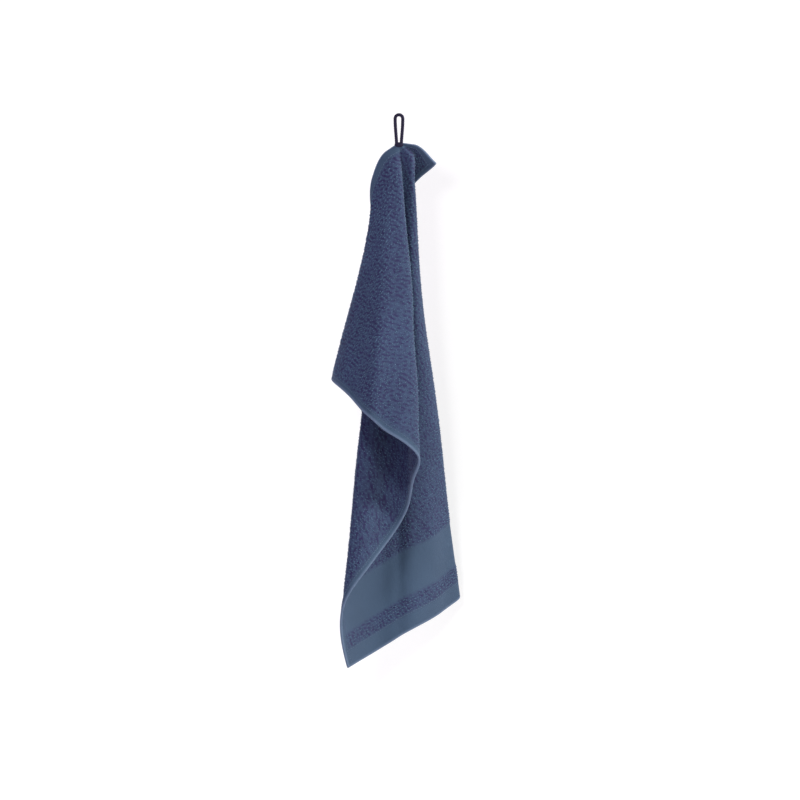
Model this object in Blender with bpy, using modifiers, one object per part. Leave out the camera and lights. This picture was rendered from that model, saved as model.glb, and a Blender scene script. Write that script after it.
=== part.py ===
"""A terry hand towel, 30 x 50 cm, hanging by a cord loop sewn to one short end.

The loop is sewn a little way in from one corner, so the cloth hangs askew in a cone of
folds that all start at the loop's foot. Metres, +Z up, and -Y is the side that is seen.
The origin is the hang point: the inside of the loop's top, where a hook carries it.
"""

import math

import bpy
import numpy as np

# Driving dimensions
TOWEL_WIDTH = 0.300
TOWEL_LENGTH = 0.500
LOOP_FROM_CORNER = 0.0455  # along the short end, from the near corner to the loop's foot
LOOP_DROP = 0.0280  # from the hang point down to the cloth's edge
CORD_DIAMETER = 0.0036
LOOP_WIDTH = 0.0117  # over the cord, where the loop is widest
FOOT_WIDTH = 0.0088  # over the cord, where both legs meet the cloth
LEG_CURVE = 1.5  # over 1 keeps the legs close together for longer above the cloth
SEAT_GAP = 0.0003  # between the cord's ends and the cloth

# The woven zones, measured along the cloth from the end that hangs lowest
END_HEM = 0.019
TERRY_STRIP = 0.017
FLAT_BAND = 0.049
TOP_HEM = 0.008
SIDE_HEM = 0.006

# The thickness of each zone, pile included
PILE_THICKNESS = 0.0030
HEM_THICKNESS = 0.0023
BAND_THICKNESS = 0.0017
ZONE_STEP = 0.0015  # the width over which one zone's thickness turns into the next
PINCHED_THICKNESS = 0.0012  # at the loop's foot, where the folds press on each other
PINCHED_REACH = 0.034  # how far from the loop's foot the cloth is thinner for it

# Distances from the loop's foot at which the fold table gives its angles
STATIONS = (0.016, 0.046, 0.16, 0.50)
TIP_RADIUS = 0.009  # within this the folds flatten out towards the loop's foot

# The fold table. Each row is a line of the flat cloth that starts at the loop's foot.
# flat: its angle there, from the short end's near corner (0) to the far one (180)
# steps: the faces across the cloth between this row and the next
# sway: its angle from straight down as seen, + to the right, at each station
# depth: its angle out of that view, + away from it, at each station
FAR_CORNER = math.degrees(math.atan2(TOWEL_LENGTH, LOOP_FROM_CORNER - TOWEL_WIDTH))
NEAR_CORNER = math.degrees(math.atan2(TOWEL_LENGTH, LOOP_FROM_CORNER))
FOLD_COLUMNS = ("name", "flat", "steps", "sway", "depth")
FOLDS = (
    ("top hem, turned behind", 180.0, 5, (-55, -37, -6, -6), (0, -1, -6.4, -6.4)),
    ("left fold", 167.3, 4, (-43, -27, -16.3, -15.4), (-6, -7, -4.4, -4.4)),
    ("front, left side", 161.0, 4, (-36, -21, -14.6, -13.6), (-10, -10, -8.8, -8.8)),
    ("front, middle", 153.0, 4, (-27, -13, -9.8, -9.1), (-14, -13, -11.4, -11.4)),
    ("front, right side", 144.5, 4, (-15, -4, -2.2, -2.6), (-16, -14, -10.6, -10.6)),
    ("crest", 139.0, 4, (-7.5, 2.2, 4.2, 3.2), (-15, -13, -7.2, -7)),
    ("behind the crest", 135.5, 3, (-3, 4, 4.2, 2), (-11, -9.5, -3.6, -3.6)),
    ("inner, right side", 131.0, 3, (1.5, 3.6, 3.4, 1), (-4, -5, -0.4, -0.2)),
    ("inner, middle", 126.5, 3, (5.5, 1.8, -0.6, -2.1), (2, -1, -0.2, -0.2)),
    ("inner, left side", 123.5, 3, (8.5, 0.8, -4.4, -4.9), (5, 1.5, -2, -2.3)),
    ("inner left fold", 121.0, 3, (11, 0.8, -7.9, -6.8), (7, 4, -2.4, -2.5)),
    ("far corner", FAR_CORNER, 3, (15, 2, -8.4, -5.5), (8, 7.5, 1.8, 1.2)),
    ("back layer, left side", 112.5, 3, (20, 5.6, -4.2, -2.1), (6.2, 9.4, 5, 5)),
    ("back layer, middle", 107.0, 4, (26.3, 10, 1.2, 1.5), (1.6, 8.9, 7.2, 6.6)),
    ("back layer, ridge", 102.5, 3, (32, 13.4, 5.4, 4.9), (-2.8, 7, 6.2, 11.2)),
    ("right fold", 98.0, 4, (37, 16.9, 8.3, 7.6), (-6, 5.6, 9.6, 13.4)),
    ("hidden layer, right side", 94.0, 3, (41, 19.2, 7.9, 5.6), (-5, 7.4, 13, 14.8)),
    ("hidden layer, middle", 89.5, 4, (45, 19.8, 4.4, 1.6), (-1, 11.2, 14.6, 13.2)),
    ("near corner", NEAR_CORNER, 5, (49, 18.2, 0.4, -2.4), (4, 15, 14.4, 11.2)),
    ("hidden side hem", 75.0, 4, (54, 14, -6, -9), (12, 22, 18.6, 16.4)),
    ("corner flap, hollow", 60.0, 6, (60, 10, -11, -14), (20, 32, 28, 28)),
    ("corner flap", 30.0, 6, (71, 33, 10, 10), (14, 38, 38, 38)),
    ("top hem, near side", 0.0, 0, (82, 61, 50, 50), (0, 13, 20, 20)),
)

BODY_RINGS = 22  # faces along the cloth from the loop's foot to the end of the pile
RING_SPREAD = 1.35  # over 1 puts more of them near the foot
MERGE_DISTANCE = 0.00005  # joins the points that a ring and the cloth's edge share
TINY = 1e-6  # keeps a division and a comparison off zero

CLOTH_COLOUR = (0.058, 0.080, 0.150, 1.0)
CORD_COLOUR = (0.020, 0.016, 0.050, 1.0)


def fold_column(name):
    """One column of the fold table as an array, with a row for each fold."""
    return np.array([row[FOLD_COLUMNS.index(name)] for row in FOLDS], float)


def along_stations(values, reach):
    """Carries each row's angles smoothly from station to station, by the distance's logarithm.

    A cubic between two stations whose slope at each is the harmonic mean of the slopes on
    both sides, or nothing where they differ in sign, so that it never overshoots.
    """
    place = np.log(np.array(STATIONS))
    rise = np.diff(values, axis=1) / np.diff(place)
    before, after = rise[:, :-1], rise[:, 1:]
    same_way = before * after > 0
    total = np.where(same_way, before + after, 1.0)
    inner = np.where(same_way, 2 * before * after / total, 0.0)
    level = np.zeros((len(values), 1))
    slope = np.hstack([level, inner, level])
    at = np.log(np.clip(reach, STATIONS[0], STATIONS[-1]))
    left = np.clip(np.searchsorted(place, at, side="right") - 1, 0, len(place) - 2)
    span = place[left + 1] - place[left]
    t = (at - place[left]) / span
    return (
        values[:, left] * (1 + 2 * t) * (1 - t) ** 2
        + slope[:, left] * span * t * (1 - t) ** 2
        + values[:, left + 1] * t * t * (3 - 2 * t)
        - slope[:, left + 1] * span * t * t * (1 - t)
    )


def spline_weights(knots, at):
    """The weights that turn values at the knots into a natural cubic spline at other places."""
    gap = np.diff(knots)
    count = len(knots)
    bend = np.eye(count)
    pull = np.zeros((count, count))
    for k in range(1, count - 1):
        bend[k, k - 1 : k + 2] = gap[k - 1], 2 * (gap[k - 1] + gap[k]), gap[k]
        pull[k, k - 1 : k + 2] = 6 / gap[k - 1], -6 / gap[k - 1] - 6 / gap[k], 6 / gap[k]
    second = np.linalg.solve(bend, pull)
    left = np.clip(np.searchsorted(knots, at, side="right") - 1, 0, count - 2)
    span = gap[left][:, None]
    t = (at[:, None] - knots[left][:, None]) / span
    value = np.eye(count)
    curve = (t**3 - t) * second[left + 1] + ((1 - t) ** 3 - (1 - t)) * second[left]
    return (1 - t) * value[left] + t * value[left + 1] + curve * span**2 / 6


def hung_points(flat_angle, reach):
    """Where points of the flat cloth hang, for a column of flat angles and a grid of reaches.

    A point keeps its distance from the loop's foot. Its direction there is sway and depth,
    which the fold table gives at each station, splined from fold to fold.
    """
    knots = fold_column("flat")[::-1]
    weights = spline_weights(knots, flat_angle)
    angles = []
    for name in ("sway", "depth"):
        table = fold_column(name)[::-1]
        rows = along_stations(table, reach.ravel()).reshape(len(knots), *reach.shape)
        angles.append(np.radians(np.einsum("ck,kcr->cr", weights, rows)))
    sway, depth = angles
    depth = depth * reach**2 / (reach**2 + TIP_RADIUS**2)
    return np.stack(
        [
            reach * np.sin(sway) * np.cos(depth),
            reach * np.sin(depth),
            -LOOP_DROP - reach * np.cos(sway) * np.cos(depth),
        ],
        axis=-1,
    )


def edge_reach(flat_angle):
    """The distance from the loop's foot to the flat cloth's edge, in each direction."""
    turn = np.radians(flat_angle)
    side = np.where(turn > math.pi / 2, LOOP_FROM_CORNER - TOWEL_WIDTH, LOOP_FROM_CORNER)
    level, down = np.cos(turn), np.maximum(np.sin(turn), TINY)
    to_side = np.where(np.abs(level) > TINY, side / np.where(level == 0, 1, level), np.inf)
    return np.minimum(to_side, TOWEL_LENGTH / down)


def cloth_grid():
    """The flat angle of each column, and for each column its points' distances from the foot.

    The rings over the pile are shares of the way to the pile's end or the cloth's edge.
    Below that they follow the borders of the woven zones, or stay at the cloth's edge.
    """
    flat = fold_column("flat")
    steps = fold_column("steps").astype(int)
    parts = [
        np.linspace(flat[k], flat[k + 1], steps[k], endpoint=False)
        for k in range(len(flat) - 1)
    ]
    flat_angle = np.append(np.concatenate(parts), flat[-1])[:, None]
    edge = edge_reach(flat_angle)
    down = np.maximum(np.sin(np.radians(flat_angle)), TINY)
    pile_end = TOWEL_LENGTH - END_HEM - TERRY_STRIP - FLAT_BAND
    body_end = np.minimum(pile_end / down, edge)
    far_side = flat_angle > NEAR_CORNER - TINY
    to_side = np.where(far_side, TOWEL_WIDTH - LOOP_FROM_CORNER, LOOP_FROM_CORNER)
    hem = np.hstack([1 - (SIDE_HEM + ZONE_STEP) / to_side, 1 - SIDE_HEM / to_side])
    even = np.linspace(0, 1, BODY_RINGS + 1)[1:] ** RING_SPREAD
    share = np.sort(np.hstack([np.broadcast_to(even, (len(hem), BODY_RINGS)), hem]), axis=1)
    borders = np.array(
        [
            pile_end + ZONE_STEP,
            pile_end + FLAT_BAND / 2,
            pile_end + FLAT_BAND - ZONE_STEP,
            pile_end + FLAT_BAND,
            TOWEL_LENGTH - END_HEM,
            TOWEL_LENGTH - END_HEM + ZONE_STEP,
            TOWEL_LENGTH,
        ]
    )
    reach = np.hstack([body_end * share, np.minimum(borders / down, edge)])
    return flat_angle[:, 0], reach


def zone_thickness(flat_angle, reach):
    """The cloth's thickness at each point, from its distances to the flat cloth's edges."""
    turn = np.radians(flat_angle)[:, None]
    across, down = reach * np.cos(turn), reach * np.sin(turn)
    to_end = TOWEL_LENGTH - down
    to_side = np.minimum(LOOP_FROM_CORNER - across, TOWEL_WIDTH - LOOP_FROM_CORNER + across)

    def past(distance, border):
        return np.clip((distance - border) / ZONE_STEP + TINY, 0, 1)

    strip_top = END_HEM + TERRY_STRIP
    band = past(to_end, strip_top) * (1 - past(to_end, strip_top + FLAT_BAND - ZONE_STEP))
    hem = 1 - past(to_end, END_HEM - ZONE_STEP)
    hem = np.maximum(hem, 1 - past(down, TOP_HEM))
    hem = np.maximum(hem, 1 - past(to_side, SIDE_HEM))
    flat_woven = np.where(hem > 0, HEM_THICKNESS, BAND_THICKNESS)
    free = PILE_THICKNESS + (flat_woven - PILE_THICKNESS) * np.maximum(hem, band)
    ease = np.clip(reach / PINCHED_REACH, 0, 1)
    return PINCHED_THICKNESS + (free - PINCHED_THICKNESS) * ease


def make_material(name, colour, roughness):
    material = bpy.data.materials.new(name)
    material.use_nodes = True
    shader = material.node_tree.nodes["Principled BSDF"]
    shader.inputs["Base Color"].default_value = colour
    shader.inputs["Roughness"].default_value = roughness
    shader.inputs["Metallic"].default_value = 0.0
    return material


def make_cloth(collection):
    """The whole towel: one open sheet of quads round the loop's foot, thickened on both sides."""
    flat_angle, reach = cloth_grid()
    points = hung_points(flat_angle, reach)
    thickness = zone_thickness(flat_angle, reach)
    columns, rings = reach.shape
    index = 1 + np.arange(columns * rings).reshape(columns, rings)
    corners = (index[:-1, 1:], index[1:, 1:], index[1:, :-1], index[:-1, :-1])
    quads = np.stack(corners, axis=-1).reshape(-1, 4).tolist()
    foot = (0.0, 0.0, -LOOP_DROP)
    fan = [(0, int(a), int(b)) for a, b in zip(index[:-1, 0], index[1:, 0])]
    mesh = bpy.data.meshes.new("towel_cloth")
    mesh.from_pydata([foot, *points.reshape(-1, 3).tolist()], [], fan + quads)
    cloth = bpy.data.objects.new("towel_cloth", mesh)
    collection.objects.link(cloth)

    share = cloth.vertex_groups.new(name="thickness share")
    share.add([0], PINCHED_THICKNESS / PILE_THICKNESS, "REPLACE")
    for k, value in enumerate(thickness.ravel() / PILE_THICKNESS):
        share.add([k + 1], float(value), "REPLACE")

    weld = cloth.modifiers.new("meet at the edges", "WELD")
    weld.merge_threshold = MERGE_DISTANCE
    wall = cloth.modifiers.new("cloth thickness", "SOLIDIFY")
    wall.thickness = PILE_THICKNESS
    wall.offset = 0.0
    wall.use_even_offset = False
    wall.use_quality_normals = True
    wall.vertex_group = share.name
    mesh.shade_smooth()
    mesh.materials.append(make_material("Terry cloth", CLOTH_COLOUR, 0.95))
    return cloth


def make_loop(collection):
    """The hanging loop: one cord, up from the cloth's edge, round the top and down again."""
    half_foot = (FOOT_WIDTH - CORD_DIAMETER) / 2
    half_top = (LOOP_WIDTH - CORD_DIAMETER) / 2
    top = CORD_DIAMETER / 2
    shoulder = top - half_top
    foot = SEAT_GAP - LOOP_DROP
    leg_points, arc_points = 8, 12
    rise = np.linspace(0, 1, leg_points)
    widen = rise**LEG_CURVE * (1 + LEG_CURVE - LEG_CURVE * rise)
    spread = half_foot + (half_top - half_foot) * widen
    height = foot + (shoulder - foot) * rise
    turn = np.linspace(0, math.pi, arc_points + 1)[1:-1]
    arc = np.stack([half_top * np.cos(turn), shoulder + half_top * np.sin(turn)], axis=1)
    right = np.stack([spread, height], axis=1)
    left = np.stack([-spread, height], axis=1)[::-1]
    route = np.concatenate([right, arc, left])

    data = bpy.data.curves.new("hanging_loop", "CURVE")
    data.dimensions = "3D"
    spline = data.splines.new("POLY")
    spline.points.add(len(route) - 1)
    for point, (across, up) in zip(spline.points, route):
        point.co = (across, 0.0, up, 1.0)
    data.bevel_depth = CORD_DIAMETER / 2
    data.bevel_resolution = 2
    data.use_fill_caps = True
    loop = bpy.data.objects.new("hanging_loop", data)
    collection.objects.link(loop)
    data.materials.append(make_material("Loop cord", CORD_COLOUR, 0.85))
    return loop


def main():
    for obj in list(bpy.data.objects):
        bpy.data.objects.remove(obj)
    collection = bpy.data.collections.new("Hand towel")
    bpy.context.scene.collection.children.link(collection)
    make_cloth(collection)
    make_loop(collection)


main()
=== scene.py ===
"""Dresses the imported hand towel: terry pile, woven border, hems, stitches, cord loop and tack.

The cloth is one sheet, 30 x 50 cm, that hangs askew from a loop near one corner of a short
end. Flat places on it are given in metres from the loop's foot: across along the short end,
positive towards the near corner, and down along the cloth towards its lower end.
"""

import math

import bpy
import numpy as np
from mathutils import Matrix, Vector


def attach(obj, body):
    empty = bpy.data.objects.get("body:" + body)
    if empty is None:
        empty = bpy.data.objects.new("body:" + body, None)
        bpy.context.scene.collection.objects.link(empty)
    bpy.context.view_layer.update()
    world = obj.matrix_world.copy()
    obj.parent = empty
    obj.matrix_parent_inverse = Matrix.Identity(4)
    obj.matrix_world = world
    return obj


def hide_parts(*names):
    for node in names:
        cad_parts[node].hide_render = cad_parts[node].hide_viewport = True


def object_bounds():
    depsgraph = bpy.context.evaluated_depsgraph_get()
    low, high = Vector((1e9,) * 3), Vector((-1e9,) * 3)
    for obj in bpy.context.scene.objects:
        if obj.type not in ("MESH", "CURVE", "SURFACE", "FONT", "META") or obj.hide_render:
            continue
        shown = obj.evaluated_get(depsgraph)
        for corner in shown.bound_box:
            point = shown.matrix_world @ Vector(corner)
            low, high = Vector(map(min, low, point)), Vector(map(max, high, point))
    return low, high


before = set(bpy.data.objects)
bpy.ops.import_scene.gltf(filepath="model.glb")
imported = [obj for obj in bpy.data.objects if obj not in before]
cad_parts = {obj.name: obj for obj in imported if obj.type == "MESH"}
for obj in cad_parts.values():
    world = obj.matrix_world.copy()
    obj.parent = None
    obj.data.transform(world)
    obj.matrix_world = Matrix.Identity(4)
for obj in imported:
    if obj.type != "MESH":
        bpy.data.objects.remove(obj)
cad_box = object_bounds()

bl_info = {
    "name": "Hand towel",
    "version": (1, 0, 0),
    "blender": (4, 5, 0),
    "location": "View3D > Sidebar > Towel",
    "description": "Builds a terry hand towel that hangs from its loop",
    "category": "Add Mesh",
}

SEED = 7
FULL_TURN = 2 * math.pi

# ---------------------------------------------------------------------------
# The fold table, as in the solid's own source. Each row is a line of the flat cloth that
# starts at the loop's foot.
# flat: its angle there, from the short end's near corner (0) to the far one (180)
# sway: its angle from straight down as seen, + to the right, at each station
# depth: its angle out of that view, + away from it, at each station
STATIONS = (0.016, 0.046, 0.16, 0.50)  # distances from the loop's foot
TIP_RADIUS = 0.009  # within this the folds flatten out towards the loop's foot
TOWEL_WIDTH = 0.300
TOWEL_LENGTH = 0.500
LOOP_FROM_CORNER = 0.0455
LOOP_DROP = 0.0280
FAR_SIDE = LOOP_FROM_CORNER - TOWEL_WIDTH
FAR_CORNER = math.degrees(math.atan2(TOWEL_LENGTH, FAR_SIDE))
NEAR_CORNER = math.degrees(math.atan2(TOWEL_LENGTH, LOOP_FROM_CORNER))
FOLD_COLUMNS = ("name", "flat", "sway", "depth")
FOLDS = (
    ("top hem, turned behind", 180.0, (-55, -37, -6, -6), (0, -1, -6.4, -6.4)),
    ("left fold", 167.3, (-43, -27, -16.3, -15.4), (-6, -7, -4.4, -4.4)),
    ("front, left side", 161.0, (-36, -21, -14.6, -13.6), (-10, -10, -8.8, -8.8)),
    ("front, middle", 153.0, (-27, -13, -9.8, -9.1), (-14, -13, -11.4, -11.4)),
    ("front, right side", 144.5, (-15, -4, -2.2, -2.6), (-16, -14, -10.6, -10.6)),
    ("crest", 139.0, (-7.5, 2.2, 4.2, 3.2), (-15, -13, -7.2, -7)),
    ("behind the crest", 135.5, (-3, 4, 4.2, 2), (-11, -9.5, -3.6, -3.6)),
    ("inner, right side", 131.0, (1.5, 3.6, 3.4, 1), (-4, -5, -0.4, -0.2)),
    ("inner, middle", 126.5, (5.5, 1.8, -0.6, -2.1), (2, -1, -0.2, -0.2)),
    ("inner, left side", 123.5, (8.5, 0.8, -4.4, -4.9), (5, 1.5, -2, -2.3)),
    ("inner left fold", 121.0, (11, 0.8, -7.9, -6.8), (7, 4, -2.4, -2.5)),
    ("far corner", FAR_CORNER, (15, 2, -8.4, -5.5), (8, 7.5, 1.8, 1.2)),
    ("back layer, left side", 112.5, (20, 5.6, -4.2, -2.1), (6.2, 9.4, 5, 5)),
    ("back layer, middle", 107.0, (26.3, 10, 1.2, 1.5), (1.6, 8.9, 7.2, 6.6)),
    ("back layer, ridge", 102.5, (32, 13.4, 5.4, 4.9), (-2.8, 7, 6.2, 11.2)),
    ("right fold", 98.0, (37, 16.9, 8.3, 7.6), (-6, 5.6, 9.6, 13.4)),
    ("hidden layer, right side", 94.0, (41, 19.2, 7.9, 5.6), (-5, 7.4, 13, 14.8)),
    ("hidden layer, middle", 89.5, (45, 19.8, 4.4, 1.6), (-1, 11.2, 14.6, 13.2)),
    ("near corner", NEAR_CORNER, (49, 18.2, 0.4, -2.4), (4, 15, 14.4, 11.2)),
    ("hidden side hem", 75.0, (54, 14, -6, -9), (12, 22, 18.6, 16.4)),
    ("corner flap, hollow", 60.0, (60, 10, -11, -14), (20, 32, 28, 28)),
    ("corner flap", 30.0, (71, 33, 10, 10), (14, 38, 38, 38)),
    ("top hem, near side", 0.0, (82, 61, 50, 50), (0, 13, 20, 20)),
)

# Soft creases that run out from the loop's foot, as troughs (-) or ridges (+) on the folds.
# name, flat angle, where it starts and ends, half its width, and its height
CREASES = (
    ("gather on the front, left", 164.0, 0.030, 0.150, 0.0050, -0.0014),
    ("gather on the front, middle", 157.0, 0.040, 0.260, 0.0085, -0.0020),
    ("ridge beside the crest", 147.5, 0.060, 0.520, 0.0120, 0.0052),
    ("trough on the front", 154.5, 0.080, 0.440, 0.0140, -0.0034),
    ("ridge above the corner", 143.0, 0.200, 0.440, 0.0110, 0.0036),
    ("trough in the inner layer", 128.5, 0.180, 0.460, 0.0090, -0.0006),
    ("ridge in the inner layer", 125.5, 0.240, 0.480, 0.0080, 0.0011),
    ("trough in the back layer", 109.0, 0.200, 0.620, 0.0120, -0.0032),
    ("ridge in the back layer", 103.5, 0.220, 0.640, 0.0240, 0.0085),
    ("ridge on the hidden layer", 91.5, 0.120, 0.480, 0.0140, 0.0020),
    ("trough on the hidden layer", 87.5, 0.100, 0.500, 0.0120, -0.0018),
)

# Long shallow waves over the whole cloth: their height, their length over 2 pi, how far they
# wander in radians, and the wandering's own length over 2 pi along the other axis.
WAVES_ACROSS = (0.0004, 0.017, 2.1, 0.060)
WAVES_DOWN = (0.0005, 0.031, 1.7, 0.045)
WAVES_FULL_FROM = 0.12

GROUND_NAP = (-0.0002, 0.0003)  # how uneven the ground's faces are

# The pile. How much its loops differ: the least and the most share of each measure.
SPAN_SHARES = (0.75, 1.2)
HEIGHT_SHARES = (0.90, 1.06)
YARN_SHARES = (0.85, 1.15)
LEAN_SHARES = (0.3, 1.0)
# A loop's arch: place along half its span, share of its height, share of its lean
ARCH = ((-0.80, 0.62, 0.6), (0.0, 1.0, 1.0), (0.80, 0.62, 0.6))
ARCH_FEET = (-1.15, 1.15)
ARCH_FOOT_RISE = 0.15
# Painted light and shade on a loop's points: a foot, each ring's top and lower two, the other foot
LOOP_PAINTED_LIGHT = np.array([0.0, 0.9, 0.55, 0.55, 1.0, 0.85, 0.85, 0.9, 0.55, 0.55, 0.0])

HALVES = (("upper", 0.0, 0.215), ("lower", 0.215, TOWEL_LENGTH))  # the pile's pieces
FACES = (("front", 1.0), ("back", -1.0))

# Lights round the towel: name, place, diameter, power and colour
LIGHTS_LOOK_AT = (0.0, 0.0, -0.30)
LIGHTS = (
    ("key", (-0.31, -2.19, 1.72), 0.5, 46.0, (1.0, 1.0, 0.95)),
    ("side", (2.57, -0.40, 1.10), 0.7, 100.0, (1.0, 1.0, 0.95)),
    ("wash", (-0.6, -2.8, 0.3), 0.5, 30.0, (1.0, 1.0, 1.0)),
    ("fill", (-1.7, -2.0, 0.10), 1.2, 13.0, (0.86, 0.62, 1.0)),
    ("back", (-0.6, 2.4, 0.9), 1.2, 40.0, (0.95, 0.96, 1.0)),
)
# Which lights leave out the backdrop, and which light nothing else
LIGHT_LINKS = (
    ("all but the backdrop", "EXCLUDE", ("key", "side")),
    ("the backdrop alone", "INCLUDE", ("wash",)),
)


# ---------------------------------------------------------------------------
# Settings


def metres(name, description, default):
    return bpy.props.FloatProperty(
        name=name, description=description, default=default, unit="LENGTH", subtype="DISTANCE")


def linear_colour(name, description, default):
    return bpy.props.FloatVectorProperty(
        name=name, description=description, default=default, subtype="COLOR", size=3)


class TowelSizes(bpy.types.PropertyGroup):
    """The cloth's woven zones and its thickness."""

    end_hem: metres("End hem", "Flat hem at the lower end", 0.019)
    terry_strip: metres("Terry strip", "Narrow strip of pile above the end hem", 0.017)
    flat_band: metres("Flat band", "Smooth woven band above the terry strip", 0.049)
    top_hem: metres("Top hem", "Flat hem at the looped end", 0.008)
    side_hem: metres("Side hem", "Flat hem along each long side", 0.0062)
    ground_thickness: metres("Ground", "Thickness of the cloth under the pile", 0.0020)
    hem_thickness: metres("Hem thickness", "Thickness of the folded hems", 0.0023)
    band_thickness: metres("Band thickness", "Thickness of the flat band", 0.0015)
    fine_step: metres("Fine step", "Grid step next to the loop's foot", 0.0008)
    coarse_step: metres("Coarse step", "Grid step over the rest of the cloth", 0.0023)


class TowelPile(bpy.types.PropertyGroup):
    """The loops of yarn that make the terry."""

    pitch_across: metres("Pitch across", "From loop to loop along a row", 0.00205)
    pitch_down: metres("Pitch down", "From row to row", 0.00300)
    height: metres("Height", "A loop's height over the cloth's middle", 0.0020)
    span: metres("Span", "A loop's width between its feet", 0.0015)
    yarn: metres("Yarn", "The pile yarn's thickness", 0.00145)
    lean: metres("Lean", "How far a loop's top leans over, at most", 0.0006)
    clumping: bpy.props.FloatProperty(
        name="Clumping", description="How strongly neighbouring loops go together",
        default=1.0)


class TowelLoop(bpy.types.PropertyGroup):
    """The hanging cord and the tack over its ends."""

    cord: metres("Cord", "The cord's diameter", 0.0036)
    width: metres("Width", "Over the cord where the loop is widest", 0.0117)
    foot: metres("Foot", "Over the cord where both legs meet the cloth", 0.0088)
    plies: bpy.props.IntProperty(
        name="Plies", description="Strands twisted into the cord", default=4)
    twist: metres("Twist", "Length of cord for one turn of a strand", 0.0105)
    groove: bpy.props.FloatProperty(
        name="Groove", description="Depth of the grooves between strands, as a share",
        default=0.10)
    tack_width: metres("Tack width", "The sewn tack over the cord's ends", 0.0098)
    tack_depth: metres("Tack depth", "The tack's size from front to back", 0.0042)
    tack_height: metres("Tack height", "The tack's size up and down", 0.0052)
    tack_turns: bpy.props.IntProperty(
        name="Tack turns", description="Turns of thread side by side in the tack", default=8)


class TowelColours(bpy.types.PropertyGroup):
    """Linear colours of the yarns."""

    # depth is painted shade between the loops and at their feet; tip is the painted lit colour
    # where they catch the light.
    tip: linear_colour("Pile tips", "Where the loops catch the light", (0.069, 0.138, 0.210))
    depth: linear_colour("Pile depth", "Between the loops", (0.019, 0.014, 0.060))
    woven: linear_colour("Flat weave", "Hems and band", (0.051, 0.098, 0.150))
    # edge is a painted highlight: the hems' turned edges drawn lighter than the flat weave.
    edge: linear_colour("Hem edge", "The highlit turn of the hems", (0.120, 0.175, 0.260))
    thread: linear_colour("Thread", "Sewing thread", (0.095, 0.145, 0.220))
    cord: linear_colour("Cord", "The hanging loop's cord", (0.013, 0.011, 0.034))


class TowelStage(bpy.types.PropertyGroup):
    """Camera, floor and backdrop."""

    distance: metres("Camera distance", "From the camera to the view centre", 6.0)
    frame_width: metres("Frame width", "Width of the view at the towel", 0.851)
    centre: bpy.props.FloatVectorProperty(
        name="View centre", description="The point in the middle of the view",
        default=(0.0011, 0.0, -0.3016), subtype="TRANSLATION", size=3)
    wall_gap: metres("Backdrop gap", "Behind the towel", 0.012)
    floor_drop: metres("Floor drop", "Below the towel", 0.20)


# ---------------------------------------------------------------------------
# The hung shape


def fold_column(name):
    """One column of the fold table as an array, from flat angle 0 upwards."""
    return np.array([row[FOLD_COLUMNS.index(name)] for row in FOLDS], float)[::-1]


def along_stations(values, reach):
    """Each row's angles at these distances from the loop's foot.

    Over the distance's logarithm, a cubic joins each two stations. Its slope at a station is
    the harmonic mean of the slopes on both sides, or nothing where they differ in sign.
    """
    place = np.log(np.array(STATIONS))
    rise = np.diff(values, axis=1) / np.diff(place)
    before, after = rise[:, :-1], rise[:, 1:]
    same_way = before * after > 0
    total = np.where(same_way, before + after, 1.0)
    inner = np.where(same_way, 2 * before * after / total, 0.0)
    level = np.zeros((len(values), 1))
    slope = np.hstack([level, inner, level])
    at = np.log(np.clip(reach, STATIONS[0], STATIONS[-1]))
    left = np.clip(np.searchsorted(place, at, side="right") - 1, 0, len(place) - 2)
    span = place[left + 1] - place[left]
    t = (at - place[left]) / span
    return (
        values[:, left] * (1 + 2 * t) * (1 - t) ** 2
        + slope[:, left] * span * t * (1 - t) ** 2
        + values[:, left + 1] * t * t * (3 - 2 * t)
        - slope[:, left + 1] * span * t * t * (1 - t)
    )


def spline_weights(knots, at):
    """The weights that turn values at the knots into a natural cubic spline at other places."""
    gap = np.diff(knots)
    count = len(knots)
    bend = np.eye(count)
    pull = np.zeros((count, count))
    for k in range(1, count - 1):
        bend[k, k - 1 : k + 2] = gap[k - 1], 2 * (gap[k - 1] + gap[k]), gap[k]
        pull[k, k - 1 : k + 2] = 6 / gap[k - 1], -6 / gap[k - 1] - 6 / gap[k], 6 / gap[k]
    second = np.linalg.solve(bend, pull)
    left = np.clip(np.searchsorted(knots, at, side="right") - 1, 0, count - 2)
    span = gap[left][:, None]
    t = (at[:, None] - knots[left][:, None]) / span
    value = np.eye(count)
    curve = (t**3 - t) * second[left + 1] + ((1 - t) ** 3 - (1 - t)) * second[left]
    return (1 - t) * value[left] + t * value[left + 1] + curve * span**2 / 6


def folded(across, down):
    """Where flat points hang on the folds: each keeps its distance from the loop's foot, in
    the direction of sway and depth that the fold table gives for its flat angle."""
    reach = np.maximum(np.hypot(across, down), 1e-6)
    flat_angle = np.degrees(np.arctan2(down, across))
    weights = spline_weights(fold_column("flat"), flat_angle)
    sway, depth = (
        np.radians(np.einsum("nk,kn->n", weights, along_stations(fold_column(name), reach)))
        for name in ("sway", "depth")
    )
    depth = depth * reach**2 / (reach**2 + TIP_RADIUS**2)
    return np.stack(
        [
            reach * np.sin(sway) * np.cos(depth),
            reach * np.sin(depth),
            -LOOP_DROP - reach * np.cos(sway) * np.cos(depth),
        ],
        axis=-1,
    )


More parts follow.
